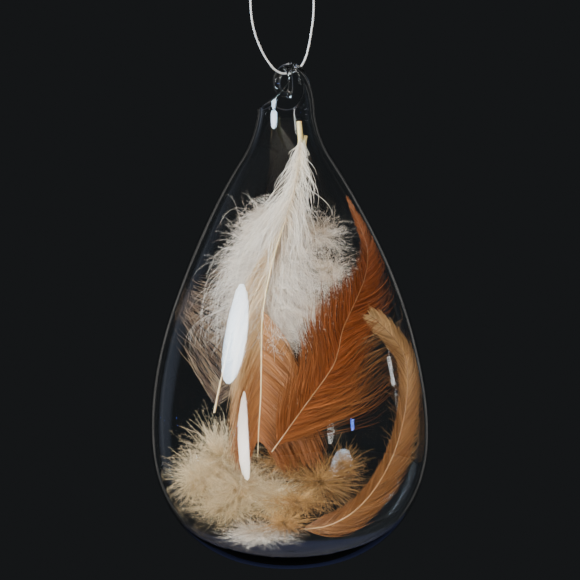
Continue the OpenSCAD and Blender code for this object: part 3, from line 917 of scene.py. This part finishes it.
# A fuzzy brown feather stands on edge against the right wall.
fuzzyWidth = [[0, 3], [0.4, 7], [1, 6]]
fuzzy = {
    "line": [[31, 5, 64], [34, 5, 55], [35, 5, 45], [34.4, 5, 35], [31, 5, 26]],
    "quill": [[0, 0.2], [1, 0.4]],
    "face": (0.75, -0.65, 0),
    "vane": {
        "count": 220, "fromTo": (0.02, 0.99), "angles": (60, 40), "stray": 9, "curl": 18, "liftSpread": 14,
        "uneven": 0.2, "thick": 0.12, "taper": 0.2, "fluff": {"count": 22, "length": 1.1, "thick": 0.035},
    },
    "widths": {-1: fuzzyWidth, 1: fuzzyWidth},
}
fuzzyBrown = vaneFinish(
    "fuzzyBrown", [(0, (0.13, 0.065, 0.03)), (0.6, (0.2, 0.1, 0.04)), (1, (0.26, 0.15, 0.065))],
    [(0, (1, 1, 1)), (1, (0.75, 0.72, 0.7))], 0.6, 0.35)
fuzzyShaft = smoothLine(fuzzy["line"], 60)
makeQuill("fuzzyQuill", fuzzyShaft, fuzzy["quill"], "side_quill", brownHorn)
feather("fuzzyVane", vaneSides(fuzzy, fuzzyShaft), fuzzyBrown, "side_vane", 28)
print("fuzzy feather made")

# Loose down fills the bottom of the drop. Each lump is its centre, its size and its count of barbs.
downFluff = {"count": 34, "length": 1.7, "thick": 0.04}
goldenFluff = {"count": 28, "length": 1.4, "thick": 0.04}
wispFluff = {"count": 10, "length": 0.7, "thick": 0.03, "forward": 1.5}
creamBarbs = {"bend": 0.9, "curl": 0.16, "thick": 0.08, "fluff": downFluff}
goldenBarbs = {"bend": 0.8, "curl": 0.1, "thick": 0.08, "fluff": goldenFluff}
cream = {
    "line": [[-17, 2, 38], [-18.5, 2, 30], [-21, 2, 22], [-24, 2, 18]], "quill": [[0, 0.2], [1, 0.45]],
    "lumps": [([-19, -4, 32], [18, 13, 18], 660), ([-26, -2, 26], [15, 14, 14], 440),
              ([-14, -8, 24], [18, 12, 14], 500)],
    "lowLumps": [([-18, 2, 18], [19, 14, 12], 500), ([-5, -8, 21], [14, 12, 11], 420)],
}
golden = {
    "line": [[2, -4, 24.5], [8, -4, 25], [15, -4, 25.5]], "quill": [[0, 0.1], [1, 0.22]],
    "core": [([8, 0, 24], [19, 13, 12], 420)], "coreBend": 0.7,
    "front": [([2, -14, 20], [15, 8, 8], 260)],
    "wisps": [([8, -8, 25], [24, 13, 17], 240)], "wispBend": 0.3,
    "round": [([15, -3, 29], [9, 8, 9], 170), ([-2, -10, 31], [13, 8, 8], 170),
              ([-2, -19, 15], [12, 6, 7], 220)],
}
whiteLumps = [([-9, -3, 9.5], [16, 14, 7], 620)]
creamDown = vaneFinish(
    "creamDown", [(0, (0.52, 0.37, 0.2)), (0.5, (0.6, 0.46, 0.28)), (1, (0.66, 0.52, 0.34))],
    [(0, (0.85, 0.75, 0.6)), (0.5, (1, 1, 1)), (1, (1, 1, 1))], 0.7, 0.4, sheen=0.1)
goldenDown = vaneFinish(
    "goldenDown", [(0, (0.32, 0.17, 0.065)), (0.5, (0.4, 0.22, 0.085)), (1, (0.5, 0.3, 0.12))],
    [(0, (1, 1, 1)), (1, (0.95, 0.9, 0.8))], 0.6, 0.4, sheen=0.1)


def tufts(lumps, barbs, **more):
    return [tuft(centre, size, {**barbs, "count": count, **more}, rng) for centre, size, count in lumps]


makeQuill("creamQuill", smoothLine(cream["line"], 30), cream["quill"], "cream_quill")
makeQuill("goldenQuill", smoothLine(golden["line"], 30), golden["quill"], "golden_quill", brownHorn)
feather("creamDown", tufts(cream["lumps"], creamBarbs), creamDown, "cream_down", 29)
feather("creamDownLow", tufts(cream["lowLumps"], creamBarbs), creamDown, None, 30)
goldenBatches = tufts(golden["core"], goldenBarbs, bend=golden["coreBend"])
goldenBatches += tufts(golden["front"], goldenBarbs)
goldenBatches += tufts(golden["wisps"], goldenBarbs, bend=golden["wispBend"], fluff=wispFluff)
goldenBatches += tufts(golden["round"], goldenBarbs)
feather("goldenDown", goldenBatches, goldenDown, "golden_down", 31)
feather("whiteTuft", tufts(whiteLumps, creamBarbs), downWhite, "white_tuft", 32)
print("down made")

# A plain pale floor well below the drop, and soft lamps round it.
floor = {"below": 0.8, "radius": 4, "edge": 0.004, "sides": 96}


def makeFloor():
    count, edge = floor["sides"], floor["edge"]
    t = np.linspace(0, 2 * np.pi, count, endpoint=False)
    ring = np.c_[np.cos(t), np.sin(t), np.zeros(count)]
    inner = ring * (floor["radius"] - edge) + [0, 0, edge]
    points = np.concatenate([ring * floor["radius"], inner, [[0, 0, edge]]])
    points[:, 2] += cadLow.z - floor["below"]
    k = np.arange(count)
    following = (k + 1) % count
    quads = np.stack([k, following, count + following, count + k], -1)
    triangles = np.stack([count + k, count + following, np.full(count, 2 * count)], -1)
    made = placeMesh("floor", points, quads, triangles, inFrame=True)
    finish, nodes, links, shader = newMaterial("paleFloor")
    tint = ramp(nodes, [(0.3, (0.6, 0.6, 0.6)), (0.7, (0.66, 0.655, 0.65))])
    links.new(noiseNode(nodes, links, 6), tint.inputs[0])
    links.new(tint.outputs[0], shader.inputs["Base Color"])
    shader.inputs["Roughness"].default_value = 0.8
    made.data.materials.append(finish)
    made.visible_glossy = False  # its reflection would make the base of the glass milky


def lamp(name, azimuth, elevation, distance, size, power, colour, spread=70, shines=True, shape="RECTANGLE"):
    # Azimuth is measured from the viewer, to the right, and each lamp faces the drop. One that doesn't
    # shine lights the feathers and leaves no reflection in the glass.
    data = bpy.data.lights.new(name, "AREA")
    data.shape = shape
    data.size, data.size_y = size
    data.energy = power
    data.color = colour
    data.spread = math.radians(spread)
    made = bpy.data.objects.new(name, data)
    bpy.context.scene.collection.objects.link(made)
    a, e = math.radians(azimuth), math.radians(elevation)
    centre = Vector((dropAt[0], dropAt[1], (dropLow.z + dropHigh.z) / 2))
    back = Vector((math.sin(a) * math.cos(e), -math.cos(a) * math.cos(e), math.sin(e)))
    made.location = centre + back * distance
    made.rotation_mode = "QUATERNION"
    made.rotation_quaternion = back.to_track_quat("Z", "Y")
    made.visible_camera = False
    made.visible_glossy = made.visible_transmission = shines


makeFloor()
lamp("window", -52, 24, 0.95, (0.34, 0.42), 2.0, (0.66, 0.84, 1.0), 60, shape="ELLIPSE")
lamp("strip", -37, -9, 0.9, (0.13, 0.6), 0.9, (1.0, 0.97, 0.9), 60, shape="ELLIPSE")
lamp("front", 10, 24, 1.2, (0.45, 0.45), 1.5, (1.0, 0.89, 0.76), 40, shines=False)
lamp("rightSide", 97, 10, 0.8, (0.03, 0.1), 0.012, (0.9, 0.95, 1.0))
lamp("leftRim", -122, 5, 0.8, (0.3, 1.4), 0.03, (0.6, 0.72, 1.0))
for name, azimuth in (("rimLeft", -152), ("rimRight", 152)):
    lamp(name, azimuth, 8, 0.9, (0.07, 1.2), 0.006, (1.0, 0.96, 0.9))
lamp("warmRight", 110, 35, 0.9, (0.5, 0.5), 0.1, (1.0, 0.8, 0.6), shines=False)
lamp("smallBlue", 50, -3, 0.9, (0.03, 0.08), 0.03, (0.1, 0.22, 1.0))
lamp("underBlue", 178, -30, 0.9, (0.6, 0.3), 0.005, (0.22, 0.3, 1.0))
lamp("ceiling", 5, 58, 1.3, (1.0, 0.8), 0.5, (1.0, 0.9, 0.78), 60, shines=False)
world = bpy.data.worlds.new("dim")
world.use_nodes = True
world.node_tree.nodes["Background"].inputs["Color"].default_value = (0.011, 0.012, 0.013, 1)
bpy.context.scene.world = world
print("floor and lamps placed")
